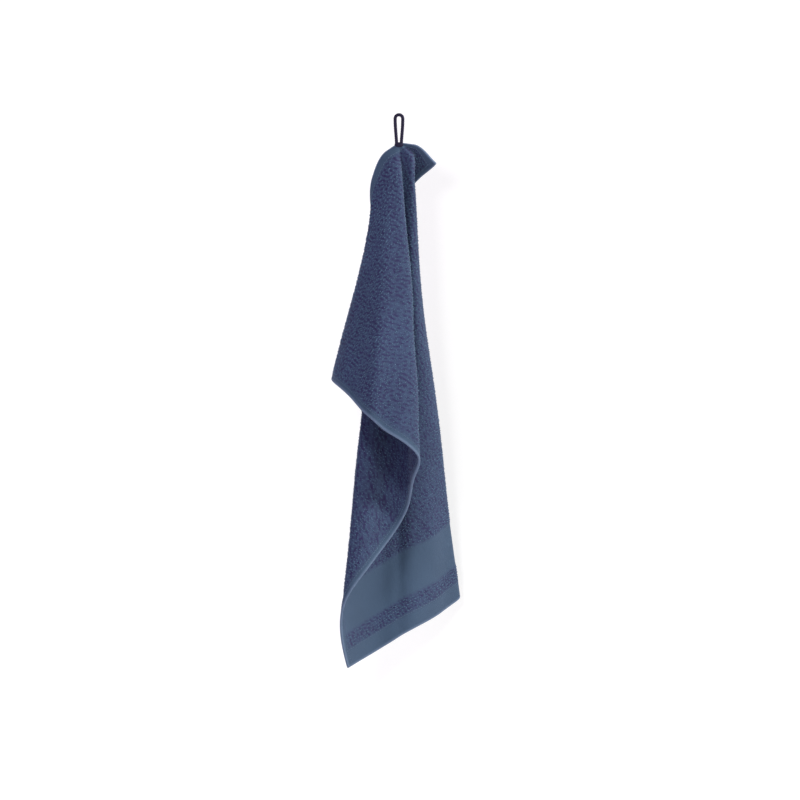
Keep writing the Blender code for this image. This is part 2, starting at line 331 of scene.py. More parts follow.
def crease_height(across, down):
    """How far the creases lift flat points: for each, a bell across it that fades in and out
    along it, and over the whole cloth long shallow waves of under a millimetre."""
    reach = np.hypot(across, down)
    flat_angle = np.degrees(np.arctan2(down, across))
    height = 0.0
    for one, other, (high, run, wander, wander_run) in (
        (across, down, WAVES_ACROSS), (down, across, WAVES_DOWN)):
        height = height + high * np.sin(one / run + wander * np.sin(other / wander_run))
    height = height * np.clip(reach / WAVES_FULL_FROM, 0, 1)
    for _, flat, start, end, width, rise in CREASES:
        off = reach * np.radians(flat_angle - flat)
        share = np.clip((reach - start) / (end - start), 0, 1)
        height = height + rise * np.exp(-((off / width) ** 2)) * np.sin(math.pi * share) ** 2
    return height


def unit(vectors):
    return vectors / np.linalg.norm(vectors, axis=-1, keepdims=True)


def hung_frame(across, down):
    """The cloth's middle at flat points, with unit directions across, down and outwards.

    The directions are central differences of the folded shape over a fifth of a millimetre.
    The front face is the one that looks along the third direction.
    """
    step = 0.0002
    point = folded(across, down)
    towards_across = folded(across + step, down) - folded(across - step, down)
    low = np.maximum(down - step, 0)
    towards_down = folded(across, down + step) - folded(across, low)
    out = np.cross(towards_down, towards_across)
    out /= np.maximum(np.linalg.norm(out, axis=-1, keepdims=True), 1e-12)
    along = unit(towards_down)
    side = np.cross(out, along)
    point = point + out * crease_height(across, down)[:, None]
    return point, side, along, out


def zones(across, down, sizes):
    """Shares from 0 to 1 of hem and of flat band at flat points, by their distances to the
    flat cloth's edges, each border 1 mm wide."""
    border = 0.001
    to_end = TOWEL_LENGTH - down
    to_side = np.minimum(LOOP_FROM_CORNER - across, TOWEL_WIDTH - LOOP_FROM_CORNER + across)

    def within(distance, limit):
        return 1 - np.clip((distance - limit) / border + 0.5, 0, 1)

    hem = np.maximum(within(to_end, sizes.end_hem), within(down, sizes.top_hem))
    hem = np.maximum(hem, within(to_side, sizes.side_hem))
    strip_top = sizes.end_hem + sizes.terry_strip
    below_band = within(to_end, strip_top)
    band = within(to_end, strip_top + sizes.flat_band) * (1 - below_band) * (1 - hem)
    return hem, band


def pinch(across, down):
    """From a small share at the loop's foot, where the folds press the cloth, up to 1."""
    return np.clip(0.35 + 0.65 * np.hypot(across, down) / 0.034, 0, 1)


# ---------------------------------------------------------------------------
# Mesh helpers


def mesh_object(name, points, faces, material, uv, values):
    """A smooth mesh from arrays: points (n, 3) and a list of face arrays, each (m, corners).
    uv is a pair for each point, and values are named numbers for each point."""
    mesh = bpy.data.meshes.new(name)
    counts = np.concatenate([np.full(len(f), f.shape[1]) for f in faces])
    corners = np.concatenate([f.ravel() for f in faces]).astype(np.int32)
    starts = np.concatenate([[0], np.cumsum(counts)[:-1]]).astype(np.int32)
    mesh.vertices.add(len(points))
    mesh.vertices.foreach_set("co", np.asarray(points, np.float32).ravel())
    mesh.loops.add(len(corners))
    mesh.loops.foreach_set("vertex_index", corners)
    mesh.polygons.add(len(counts))
    mesh.polygons.foreach_set("loop_start", starts)
    mesh.update(calc_edges=True)
    mesh.polygons.foreach_set("use_smooth", np.ones(len(counts), bool))
    layer = mesh.uv_layers.new(name="flat")
    layer.uv.foreach_set("vector", np.asarray(uv, np.float32)[corners].ravel())
    for key, numbers in values.items():
        attribute = mesh.attributes.new(key, "FLOAT", "POINT")
        attribute.data.foreach_set("value", np.asarray(numbers, np.float32))
    mesh.validate()
    obj = bpy.data.objects.new(name, mesh)
    bpy.context.scene.collection.objects.link(obj)
    mesh.materials.append(material)
    return obj


def graded(start, end, sizes, borders):
    """Places from start to end whose steps grow from fine next to 0 to coarse 90 mm away,
    with the nearest place moved onto each border."""
    dense = np.linspace(start, end, 4000)
    away = np.clip(np.abs(dense) / 0.09, 0, 1)
    step = sizes.fine_step + (sizes.coarse_step - sizes.fine_step) * away
    count = np.concatenate([[0], np.cumsum(np.diff(dense) * 2 / (step[1:] + step[:-1]))])
    places = np.interp(np.linspace(0, count[-1], int(count[-1]) + 2), count, dense)
    for border in borders:
        places[np.argmin(np.abs(places - border))] = border
    return places


def ring_faces(rings, sides):
    """Quads between rings of points, and a cap over each end. They face outwards where the
    points turn to the left round the way that the rings follow."""
    index = np.arange(rings * sides).reshape(rings, sides)
    turned = np.roll(index, -1, axis=1)
    quads = np.stack([index[:-1], turned[:-1], turned[1:], index[1:]], -1).reshape(-1, 4)
    return [quads, index[:1, ::-1], index[-1:]]


def spindle_faces(count, rings, sides):
    """Quads and triangles of many alike spindles, each a point, rings of points and a point."""
    size = rings * sides + 2
    quads, triangles = [], []
    for k in range(sides):
        here, there = 1 + k, 1 + (k + 1) % sides
        triangles.append((0, here, there))
        for low in range(0, (rings - 1) * sides, sides):
            high = low + sides
            quads.append((here + low, here + high, there + high, there + low))
        top = (rings - 1) * sides
        triangles.append((size - 1, there + top, here + top))
    base = (np.arange(count) * size)[:, None, None]
    return [(base + np.array(faces)[None]).reshape(-1, len(faces[0]))
            for faces in (quads, triangles)]


def ring_places(angle, radius, along):
    """Flat places for rings of points, by the way round them and their place along."""
    return np.stack([np.tile(angle, len(along)) * radius, np.repeat(along, len(angle))], -1)


def swept_tube(route, radii, across, sides):
    """A closed tube along a route: rings of points at radii (rings, sides) round each route
    point, in the plane of `across` and its cross product with the route's direction."""
    direction = unit(np.gradient(route, axis=0))
    second = unit(np.cross(direction, across))
    first = np.cross(second, direction)
    angle = FULL_TURN * np.arange(sides) / sides
    ring = (
        np.cos(angle)[None, :, None] * first[:, None, :]
        + np.sin(angle)[None, :, None] * second[:, None, :]
    )
    points = (route[:, None, :] + ring * radii[..., None]).reshape(-1, 3)
    return points, ring_faces(len(route), sides)


# ---------------------------------------------------------------------------
# Materials


def node_group(name, inputs, outputs):
    """A new shader group with these sockets, each (name, kind, default), and its two ends."""
    group = bpy.data.node_groups.new(name, "ShaderNodeTree")
    for label, kind, default in inputs:
        socket = group.interface.new_socket(label, in_out="INPUT", socket_type=kind)
        if default is not None:
            socket.default_value = default
    for label, kind in outputs:
        group.interface.new_socket(label, in_out="OUTPUT", socket_type=kind)
    return group, group.nodes.new("NodeGroupInput"), group.nodes.new("NodeGroupOutput")


def feed(tree, socket, value):
    """Link a socket to this input, or set the input to a value."""
    if isinstance(value, bpy.types.NodeSocket):
        tree.links.new(value, socket)
    else:
        socket.default_value = value


def set_inputs(tree, node, **values):
    """Feed a node's inputs by name, with _ for a space."""
    for label, value in values.items():
        feed(tree, node.inputs[label.replace("_", " ")], value)
    return node


def add_node(tree, kind, **values):
    """A new shader node of this kind, with its inputs fed by name."""
    return set_inputs(tree, tree.nodes.new("ShaderNode" + kind), **values)


def math_node(tree, operation, *values):
    """A Math node whose inputs are numbers or sockets, and its output."""
    node = add_node(tree, "Math")
    node.operation = operation
    for socket, value in zip(node.inputs, values):
        feed(tree, socket, value)
    return node.outputs[0]


def mix_node(tree, kind, share, first, second):
    """A Mix node for numbers (FLOAT) or colours (RGBA), and its output."""
    node = add_node(tree, "Mix")
    node.data_type = kind
    entries, way_out = {"FLOAT": ((0, 2, 3), 0), "RGBA": ((0, 6, 7), 2)}[kind]
    for place, value in zip(entries, (share, first, second)):
        feed(tree, node.inputs[place], value)
    return node.outputs[way_out]


def mix_shader(tree, share, first, second):
    """A Mix Shader node between two shaders' outputs, and its output."""
    node = add_node(tree, "MixShader")
    for socket, value in zip(node.inputs, (share, first, second)):
        feed(tree, socket, value)
    return node.outputs[0]


def noise_node(tree, vector, scale, detail):
    """A Noise Texture over a vector socket, and its factor."""
    return add_node(tree, "TexNoise", Scale=scale, Detail=detail, Roughness=0.6,
                    Vector=vector).outputs[0]


def principled(name, **values):
    """A new material with its shader's inputs set by name: material, tree and shader."""
    material = bpy.data.materials.new(name)
    material.use_nodes = True
    tree = material.node_tree
    return material, tree, set_inputs(tree, tree.nodes["Principled BSDF"], **values)


def yarn_tint_group():
    """Yarn colour: broad uneven dyeing and fine fuzz, as noise that scales the colour."""
    group, start, end = node_group(
        "Yarn tint",
        [
            ("Color", "NodeSocketColor", (0.1, 0.1, 0.1, 1)),
            ("Place", "NodeSocketVector", None),
            ("Unevenness", "NodeSocketFloat", 0.25),
            ("Fuzz", "NodeSocketFloat", 0.3),
        ],
        [("Color", "NodeSocketColor")],
    )
    value = 1.0
    for scale, amount in ((14.0, "Unevenness"), (900.0, "Fuzz")):
        noise = noise_node(group, start.outputs["Place"], scale, 2.0)
        noise = math_node(group, "SUBTRACT", noise, 0.5)
        value = math_node(group, "MULTIPLY_ADD", noise, start.outputs[amount], value)
    scaled = add_node(group, "VectorMath")
    scaled.operation = "SCALE"
    group.links.new(start.outputs["Color"], scaled.inputs[0])
    group.links.new(value, scaled.inputs["Scale"])
    group.links.new(scaled.outputs[0], end.inputs["Color"])
    return group


def weave_group():
    """Plain weave: threads across and down as sines of the flat place, each thread higher
    where it crosses over, out of step from one thread to the next."""
    group, start, end = node_group(
        "Weave",
        [
            ("Place", "NodeSocketVector", None),
            ("Thread Across", "NodeSocketFloat", 0.0007),
            ("Thread Down", "NodeSocketFloat", 0.0007),
        ],
        [("Height", "NodeSocketFloat"), ("Gap", "NodeSocketFloat")],
    )
    split = add_node(group, "SeparateXYZ", Vector=start.outputs["Place"])
    waves = []
    for axis, thread in (("X", "Thread Across"), ("Y", "Thread Down")):
        share = math_node(group, "DIVIDE", split.outputs[axis], start.outputs[thread])
        waves.append(math_node(group, "SINE", math_node(group, "MULTIPLY", share, math.pi)))
    over = math_node(group, "MULTIPLY", waves[0], waves[1])
    height = math_node(group, "MULTIPLY_ADD", over, 0.5, 0.5)
    ridge = math_node(group, "ABSOLUTE", over)
    height = math_node(group, "MULTIPLY", math_node(group, "ADD", height, ridge), 0.5)
    group.links.new(height, end.inputs["Height"])
    group.links.new(math_node(group, "SUBTRACT", 1.0, ridge), end.inputs["Gap"])
    return group


def group_node(tree, group, **values):
    """A group in a tree, with its inputs fed by name."""
    node = add_node(tree, "Group")
    node.node_tree = group
    return set_inputs(tree, node, **values)


def cloth_material(name, roughness, sheen, sheen_tint):
    """A rough material with a soft sheen: its tree, its Principled shader and the socket of
    the flat place, in metres, that the piece's own UV map holds."""
    _, tree, shader = principled(
        name, Roughness=roughness, Sheen_Weight=sheen, Sheen_Roughness=0.45,
        Sheen_Tint=opaque(sheen_tint), Specular_IOR_Level=0.18)
    place = add_node(tree, "UVMap")
    place.uv_map = "flat"
    return tree, shader, place.outputs["UV"]


def value_of(tree, name):
    """The socket of a number that each of the mesh's points holds."""
    node = add_node(tree, "Attribute")
    node.attribute_name = name
    return node.outputs["Fac"]


def opaque(colour):
    return (*colour, 1.0)


def finish_material(tree, shader, place, colour, unevenness, fuzz, height, depth, strength):
    """Join a yarn colour, unevenly tinted, and a bump's height to a shader."""
    tint = shared(bpy.data.node_groups, "Yarn tint")
    tinted = group_node(tree, tint, Color=colour, Place=place, Unevenness=unevenness, Fuzz=fuzz)
    bump = add_node(tree, "Bump", Distance=depth, Strength=strength, Height=height)
    set_inputs(tree, shader, Base_Color=tinted.outputs["Color"], Normal=bump.outputs["Normal"])


def ground_material(name, colours):
    """The sheet: painted shade on the ground between the loops, and lighter flat weave on hems and
    band.
    """
    tree, shader, place = cloth_material(name, 0.9, 0.25, (0.55, 0.65, 0.85))
    depth = opaque(colours.depth)
    flat = math_node(tree, "MAXIMUM", value_of(tree, "hem"), value_of(tree, "band"))
    weave = shared(bpy.data.node_groups, "Weave")
    threads = group_node(tree, weave, Place=place, Thread_Across=0.00085, Thread_Down=0.0006)
    # Painted shade in the gaps between the weave's threads, towards the pile's depth colour.
    gap = math_node(tree, "MULTIPLY", threads.outputs["Gap"], 0.45)
    woven = mix_node(tree, "RGBA", gap, opaque(colours.woven), depth)
    # A painted highlight along the turned edges of the hems, where rim is high.
    woven = mix_node(tree, "RGBA", value_of(tree, "rim"), woven, opaque(colours.edge))
    knots = noise_node(tree, place, 420.0, 1.0)
    # The ground under the pile is painted shade: mostly the pile's depth colour, with less of the
    # tip colour in the hollows.
    full = math_node(tree, "MULTIPLY_ADD", value_of(tree, "hollow"), -0.42, 0.46)
    share = math_node(tree, "MULTIPLY", full, math_node(tree, "MULTIPLY_ADD", knots, 0.9, 0.35))
    pile = mix_node(tree, "RGBA", share, depth, opaque(colours.tip))
    height = mix_node(tree, "FLOAT", flat, knots, threads.outputs["Height"])
    colour = mix_node(tree, "RGBA", flat, pile, woven)
    finish_material(tree, shader, place, colour, 0.35, 0.25, height, 0.0005, 0.6)


def pile_material(name, colours):
    """The loops: painted shade at their feet and painted highlight at their tops, each with its
    own shade.
    """
    tree, shader, place = cloth_material(name, 0.85, 0.45, (0.6, 0.7, 0.9))
    share = math_node(tree, "MULTIPLY", value_of(tree, "rise"), value_of(tree, "shade"))
    colour = mix_node(tree, "RGBA", share, opaque(colours.depth), opaque(colours.tip))
    finish_material(tree, shader, place, colour, 0.35, 0.5,
                    noise_node(tree, place, 2600.0, 1.0), 0.00025, 0.5)


def thread_material(name, colours):
    """Sewing thread: one even colour with fine fuzz."""
    tree, shader, place = cloth_material(name, 0.7, 0.2, (0.7, 0.8, 0.9))
    finish_material(tree, shader, place, opaque(colours.thread), 0.2, 0.4,
                    noise_node(tree, place, 3000.0, 1.0), 0.0001, 0.4)


def cord_material(name, colours):
    """The cord: painted shade in the grooves between its strands, with fine fibres along them."""
    tree, shader, place = cloth_material(name, 0.72, 0.25, (0.5, 0.5, 0.75))
    groove_shade = tuple(0.45 * part for part in colours.cord)
    colour = mix_node(tree, "RGBA", value_of(tree, "rise"), opaque(groove_shade), opaque(colours.cord))
    finish_material(tree, shader, place, colour, 0.2, 0.4,
                    noise_node(tree, place, 2400.0, 2.0), 0.00015, 0.5)


MAKERS = {
    "Yarn tint": yarn_tint_group,
    "Weave": weave_group,
    "Terry ground and flat weave": ground_material,
    "Terry pile yarn": pile_material,
    "Sewing thread": thread_material,
    "Twisted cord": cord_material,
}


def shared(kept, name, *words):
    """The node group or material of this name, made when it isn't there yet."""
    if name not in kept:
        MAKERS[name](*words)
    return kept[name]


def yarn(context, name):
    return shared(bpy.data.materials, name, name, context.scene.towel_colours)


# ---------------------------------------------------------------------------
# Pieces


class TOWEL_OT_cloth(bpy.types.Operator):
    """Make the towel's one sheet of cloth, with its hems, band and pile ground"""

    bl_idname = "towel.cloth"
    bl_label = "Cloth"

    def execute(self, context):
        sizes = context.scene.towel_sizes
        end_hem = TOWEL_LENGTH - sizes.end_hem
        strip_top = end_hem - sizes.terry_strip
        columns = graded(FAR_SIDE, LOOP_FROM_CORNER, sizes, (
            LOOP_FROM_CORNER - sizes.side_hem, FAR_SIDE + sizes.side_hem, 0.0))
        rows = graded(0.0, TOWEL_LENGTH, sizes, (
            sizes.top_hem, strip_top - sizes.flat_band, strip_top, end_hem))
        across, down = (grid.ravel() for grid in np.meshgrid(columns, rows, indexing="ij"))
        point, side, along, out = hung_frame(across, down)
        hem, band = zones(across, down, sizes)
        half = np.where(band > 0.5, sizes.band_thickness, sizes.ground_thickness) / 2
        half = half + (sizes.hem_thickness / 2 - half) * hem
        half = half * pinch(across, down)
        rng = np.random.default_rng(SEED)
        rough = (1 - np.maximum(hem, band)) * pinch(across, down)
        front, back = (
            point + sign * out * (half + rough * rng.uniform(*GROUND_NAP, len(half)))[:, None]
            for sign in (1, -1)
        )

        # The rim: round the four edges, a half circle from the front face to the back.
        shape = (len(columns), len(rows))
        index = np.arange(len(across)).reshape(shape)
        edge = np.concatenate([index[:-1, 0], index[-1, :-1], index[:0:-1, -1], index[0, :0:-1]])
        outward = np.concatenate([
            -along[index[:-1, 0]], side[index[-1, :-1]], along[index[:0:-1, -1]],
            -side[index[0, :0:-1]],
        ])
        for corner in (0, shape[0] - 1, shape[0] + shape[1] - 2, 2 * shape[0] + shape[1] - 3):
            outward[corner] = (outward[corner] + outward[corner - 1]) / math.sqrt(2)
        turns = np.radians([55.0, 20.0, -20.0, -55.0])
        rims = [
            point[edge] + half[edge][:, None] * (
                math.cos(turn) * outward + math.sin(turn) * out[edge])
            for turn in turns
        ]
        total = len(across)
        loops = [edge] + [
            2 * total + k * len(edge) + np.arange(len(edge)) for k in range(len(turns))
        ] + [edge + total]
        front_faces = np.stack(
            [index[:-1, :-1], index[:-1, 1:], index[1:, 1:], index[1:, :-1]], -1).reshape(-1, 4)
        back_faces = front_faces[:, ::-1] + total
        rim_faces = np.concatenate([
            np.stack([one, np.roll(one, -1), np.roll(two, -1), two], -1)
            for one, two in zip(loops[:-1], loops[1:])
        ])
        source = np.concatenate([np.arange(total), np.arange(total)] + [edge] * len(turns))
        hollow = np.zeros(len(source))
        hollow[:total] = hollows(across, down, 1)
        hollow[total : 2 * total] = hollows(across, down, -1)
        # rim sets where the hems' edges get their painted highlight: fully on the rim's rings, 0.8
        # on the edge points of both faces.
        rim = np.zeros(len(source))
        rim[2 * total :] = 1.0
        rim[edge] = rim[edge + total] = 0.8
        sheet = mesh_object(
            "towel_sheet",
            np.concatenate([front, back, *rims]),
            [front_faces, back_faces, rim_faces],
            yarn(context, "Terry ground and flat weave"),
            np.stack([across, down], -1)[source],
            {"hem": hem[source], "band": band[source], "rim": rim, "hollow": hollow},
        )
        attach(sheet, "root")
        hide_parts("towel_cloth")
        return {"FINISHED"}


def clump_noise(across, down, shortest, longest, rng):
    """Smooth random values over the flat cloth, with a spread of about 1: plane waves of
    random lengths between the two given, random directions and random starts, added up."""
    waves = 18
    total = np.zeros(len(across))
    for _ in range(waves):
        turn, start = rng.uniform(0, FULL_TURN, 2)
        run = across * math.cos(turn) + down * math.sin(turn)
        total += np.sin(FULL_TURN * run / rng.uniform(shortest, longest) + start)
    return total / math.sqrt(waves / 2)


def hollows(across, down, facing):
    """Shares from 0 to 1 of how far the pile is pressed down, in spots a few millimetres
    wide. facing is 1 on the front face and -1 on the back."""
    rng = np.random.default_rng(SEED + int(facing))
    return np.clip(1.1 * clump_noise(0.8 * across, down, 0.0024, 0.0052, rng) - 0.05, 0, 1)


def ring_points(centre, first, second, angles, radius):
    """Points round centres at these angles, from the first direction to the second."""
    return [centre + (math.cos(angle) * first + math.sin(angle) * second) * radius
            for angle in np.radians(angles)]


def pile_loops(across, down, facing, pile, rng):
    """Loops of yarn on the cloth at flat points: points, faces, UV places and values.

    Each is an arch in a plane close to the cloth's width: a foot, three rings of three
    points, on both shoulders and on top, and the other foot. Hollows a few millimetres wide
    hold lower, darker loops, neighbours lean much the same way, and the shade drifts over
    some centimetres, with a random part of each for the single loop. Near the loop's foot,
    where the cloth is pinched, they are smaller. facing is 1 on the front face and -1 on the
    back.
    """
    count = len(across)
    hollow = hollows(across, down, facing)
    drift = clump_noise(across, down, 0.0050, 0.0140, rng)
    broad = clump_noise(across, down, 0.0150, 0.0500, rng)
    point, side, along, out = hung_frame(across, down)
    out = out * facing
    turn = rng.normal(0.0, 0.28, count)
    line = side * np.cos(turn)[:, None] + along * np.sin(turn)[:, None]
    flank = np.cross(line, out)
    size = pinch(across, down)
    span = pile.span / 2 * rng.uniform(*SPAN_SHARES, count) * size
    height = pile.height * rng.uniform(*HEIGHT_SHARES, count) * size
    height = height * (1 - pile.clumping * 0.30 * hollow)
    radius = pile.yarn / 2 * rng.uniform(*YARN_SHARES, count) * size
    lean_turn = 2.2 * drift + rng.normal(0.0, 0.7, count)
    lean_by = pile.lean * rng.uniform(*LEAN_SHARES, count) * size
    lean = line * np.cos(lean_turn)[:, None] + flank * np.sin(lean_turn)[:, None]
    lean = lean * lean_by[:, None]
    shade = 1.0 - pile.clumping * (0.92 * hollow - 0.12 * broad) + rng.normal(0.0, 0.10, count)

    rings = []
    for place, rise, leaning in ARCH:
        centre = point + line * (span * place)[:, None] + lean * leaning
        centre = centre + out * (height * rise - radius)[:, None]
        up = unit(out + line * place)
        rings += ring_points(centre, flank, up, (90.0, 210.0, 330.0), radius[:, None])
    feet = [point + line * (span * end)[:, None] + out * (height * ARCH_FOOT_RISE)[:, None]
            for end in ARCH_FEET]
    points = np.stack([feet[0], *rings, feet[1]], axis=1)
    each = points.shape[1]
    flat = np.repeat(np.stack([across, down], -1)[:, None], each, axis=1)
    flat = flat + np.linspace(-1, 1, each)[None, :, None] * pile.span / 2
    # rise carries the loop's painted light: painted shade at its feet, painted highlight at its
    # top.
    values = {"rise": np.tile(LOOP_PAINTED_LIGHT, count), "shade": np.repeat(np.clip(shade, 0, 1), each)}
    return points.reshape(-1, 3), spindle_faces(count, 3, 3), flat.reshape(-1, 2), values


class TOWEL_OT_pile(bpy.types.Operator):
    """Stand the terry's loops of yarn on both faces of the cloth, in rows along its width"""

    bl_idname = "towel.pile"
    bl_label = "Terry pile"

    def execute(self, context):
        sizes, pile = context.scene.towel_sizes, context.scene.towel_pile
        first = np.arange(FAR_SIDE, LOOP_FROM_CORNER, pile.pitch_across)
        rows = np.arange(pile.pitch_down / 2, TOWEL_LENGTH, pile.pitch_down)
        across, down = np.meshgrid(first, rows, indexing="ij")
        across = across + np.where(np.arange(len(rows)) % 2, 0.5, 0.0) * pile.pitch_across
        across, down = across.ravel(), down.ravel()
        rng = np.random.default_rng(SEED)
        for face, facing in FACES:
            slid = across + rng.normal(0, 0.16, len(across)) * pile.pitch_across
            shifted = down + rng.normal(0, 0.13, len(down)) * pile.pitch_down
            hem, band = zones(slid, shifted, sizes)
            for label, low, high in HALVES:
                keep = (np.maximum(hem, band) < 0.4) & (shifted >= low) & (shifted < high)
                points, faces, flat, values = pile_loops(
                    slid[keep], shifted[keep], facing, pile, rng)
                piece = mesh_object(f"pile_{face}_{label}", points, faces,
                                    yarn(context, "Terry pile yarn"), flat, values)
                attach(piece, "root")
        return {"FINISHED"}


def thread_stitches(starts, ends, lifts, width):
    """Points and faces of short fat threads: from each start to each end a spindle, raised
    along lifts, with rings of four points in its middle and near both ends."""
    way = ends - starts
    length = np.linalg.norm(way, axis=1, keepdims=True)
    way = way / length
    flank = np.cross(way, lifts)
    bulge, sunk = 0.35, 0.3  # how far the middle stands out and the ends go in, in widths
    rings = []
    for share, swell in ((0.16, 0.75), (0.5, 1.0), (0.84, 0.75)):
        raised = width * bulge * math.sin(math.pi * share)
        rings += ring_points(starts + way * length * share + lifts * raised, flank, lifts,
                             (45.0, 135.0, 225.0, 315.0), width / 2 * swell)
    points = np.stack([starts - lifts * width * sunk, *rings, ends - lifts * width * sunk], 1)
    return points.reshape(-1, 3), spindle_faces(len(starts), 3, 4)


class TOWEL_OT_stitching(bpy.types.Operator):
    """Sew the hems, with rows of stitches on both faces"""

    bl_idname = "towel.stitching"
    bl_label = "Stitching"

    def execute(self, context):
        sizes = context.scene.towel_sizes
        pitch, stitch, thread = 0.0031, 0.0024, 0.00050
        inset = 0.0012  # from a hem's inner edge to its row of stitches
        short = 0.002  # from the cloth's edge to a row's end
        side_from, side_to = 2 * short, TOWEL_LENGTH - short
        side_run, end_run = side_to - side_from, TOWEL_WIDTH - 2 * short
        # Where each row starts, its direction and its length: both sides, top and end
        rows = (
            ((LOOP_FROM_CORNER - sizes.side_hem + inset, side_from), (0, 1), side_run),
            ((FAR_SIDE + sizes.side_hem - inset, side_from), (0, 1), side_run),
            ((FAR_SIDE + short, sizes.top_hem - inset), (1, 0), end_run),
            ((FAR_SIDE + short, TOWEL_LENGTH - sizes.end_hem + inset), (1, 0), end_run),
        )
        starts, ends, lifts = [], [], []
        for place, way, length in rows:
            way = np.array(way)
            one = place + np.arange(int(length / pitch))[:, None] * pitch * way
            two = one + stitch * way
            point_one, _, _, out_one = hung_frame(*one.T)
            point_two, _, _, out_two = hung_frame(*two.T)
            for _, facing in FACES:
                lift = facing * sizes.hem_thickness / 2 * pinch(*one.T)[:, None]
                starts.append(point_one + out_one * lift)
                ends.append(point_two + out_two * lift)
                lifts.append(out_one * facing)
        points, faces = thread_stitches(
            np.concatenate(starts), np.concatenate(ends), np.concatenate(lifts), thread)
        piece = mesh_object("hem_stitches", points, faces, yarn(context, "Sewing thread"),
                            points[:, [0, 2]], {})
        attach(piece, "root")
        return {"FINISHED"}


def loop_route(loop):
    """The cord's middle line: up from the seam, round the top in a half circle and down,
    with both ends run on a few millimetres inside the tack."""
    run_on = 0.0035
    inwards, longer = 0.15, 1.3  # how far an end turns in, and the last one's length, as shares
    half_foot = (loop.foot - loop.cord) / 2
    half_top = (loop.width - loop.cord) / 2
    shoulder = loop.cord / 2 - half_top
    seam = -LOOP_DROP
    rise = np.linspace(0, 1, 90)
    spread = half_foot + (half_top - half_foot) * rise**1.5 * (2.5 - 1.5 * rise)
    height = seam + (shoulder - seam) * rise
    turn = np.linspace(0, math.pi, 52)[1:-1]
    arc = np.stack([half_top * np.cos(turn), shoulder + half_top * np.sin(turn)], axis=1)
    sunk = np.linspace(1, 0, 16)[:-1] * run_on
    leg_in = np.stack([half_foot - sunk * inwards, seam - sunk], axis=1)
    right = np.stack([spread, height], axis=1)
    left = np.stack([-spread, height], axis=1)[::-1]
    sunk = sunk[::-1]
    leg_out = np.stack([-half_foot + sunk * inwards, seam - sunk * longer], axis=1)
    flat = np.concatenate([leg_in, right, arc, left, leg_out])
    return np.stack([flat[:, 0], np.zeros(len(flat)), flat[:, 1]], axis=1)


class TOWEL_OT_loop(bpy.types.Operator):
    """Make the hanging loop: one twisted cord, its ends pressed flat inside the tack"""

    bl_idname = "towel.loop"
    bl_label = "Hanging loop"

    def execute(self, context):
        loop = context.scene.towel_loop
        route = loop_route(loop)
        length = np.concatenate([[0], np.cumsum(np.linalg.norm(np.diff(route, axis=0), axis=1))])
        even = np.linspace(0, length[-1], 300)
        route = np.stack([np.interp(even, length, route[:, k]) for k in range(3)], axis=1)
        sides = 32
        angle = FULL_TURN * np.arange(sides) / sides
        phase = loop.plies * (angle[None] + FULL_TURN * even[:, None] / loop.twist)
        strand = np.abs(np.cos(phase / 2))
        radii = loop.cord / 2 * (1 - loop.groove + loop.groove * strand**0.7)
        points, faces = swept_tube(route, radii, (0.0, 1.0, 0.0), sides)
        # Pressed flat from just over the cloth down, more and more over 3 mm of cord
        press_from, press_over, flatter = -LOOP_DROP + 0.0008, 0.003, 0.72
        pressed = np.clip((press_from - route[:, 2]) / press_over, 0, 1)
        points[:, 1] *= 1 - flatter * np.repeat(pressed, sides)
        # rise is 1 on the strands and falls to 0 in the grooves, where the cord's material paints
        # shade.
        piece = mesh_object("cord_loop", points, faces, yarn(context, "Twisted cord"),
                            ring_places(angle, loop.cord / 2, even), {"rise": strand.ravel()})
        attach(piece, "root")
        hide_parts("hanging_loop")
        return {"FINISHED"}


class TOWEL_OT_tack(bpy.types.Operator):
    """Bind the cord's ends to the cloth with a tack: turns of thread side by side"""

    bl_idname = "towel.tack"
    bl_label = "Tack"

    def execute(self, context):
        # A sleeve round the cord's ends: an oval seen from above, whose outline swells once
        # for each turn of thread and closes in at both ends.
        loop = context.scene.towel_loop
        rings, sides = 8 * loop.tack_turns, 40
        share = np.linspace(0, 1, rings)
        angle = FULL_TURN * np.arange(sides) / sides
        phase = math.pi * (loop.tack_turns * share[:, None] + angle[None] / FULL_TURN)
        swell = np.abs(np.sin(phase)) ** 0.6
        body = np.clip(np.sin(math.pi * share), 0.01, 1)[:, None] ** 0.25
        groove = 0.10  # between two turns of thread, as a share of the tack's half width
        size = body * (1 - groove + groove * swell)
        top = -LOOP_DROP + 0.0006
        points = np.stack([
            loop.tack_width / 2 * size * np.cos(angle)[None],
            loop.tack_depth / 2 * size * np.sin(angle)[None],
            np.broadcast_to(top - loop.tack_height * share[:, None], size.shape),
        ], -1).reshape(-1, 3)
        # Its rings go down, so the faces turn the other way round.
        quads, *caps = ring_faces(rings, sides)
        faces = [np.roll(quads[:, ::-1], 1, axis=1), *(cap[:, ::-1] for cap in caps)]
        flat = ring_places(angle, loop.tack_width / 2, share * loop.tack_height)
        # rise is 1 on each turn of thread and 0 between turns, where the cord's material paints
        # shade.
        piece = mesh_object("loop_tack", points, faces, yarn(context, "Twisted cord"), flat,
                            {"rise": swell.ravel()})
        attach(piece, "root")
        return {"FINISHED"}


def stage_plane(name, corners, material):
    mesh = bpy.data.meshes.new(name)
    mesh.from_pydata(corners, [], [tuple(range(len(corners)))])
    obj = bpy.data.objects.new(name, mesh)
    bpy.context.scene.collection.objects.link(obj)
    mesh.materials.append(material)
    return obj


def area_light(name, place, size, power, colour):
    """A round lamp at a place, turned to the point that all the lights look at."""
    data = bpy.data.lights.new(name, "AREA")
    data.shape = "DISK"
    data.size = size
    data.energy = power
    data.color = colour
    light = bpy.data.objects.new(name, data)
    bpy.context.scene.collection.objects.link(light)
    light.location = place
    away = np.array(place) - np.array(LIGHTS_LOOK_AT)
    light.rotation_euler = (
        math.acos(away[2] / np.linalg.norm(away)), 0.0, math.atan2(away[1], away[0]) + math.pi / 2)
    return light


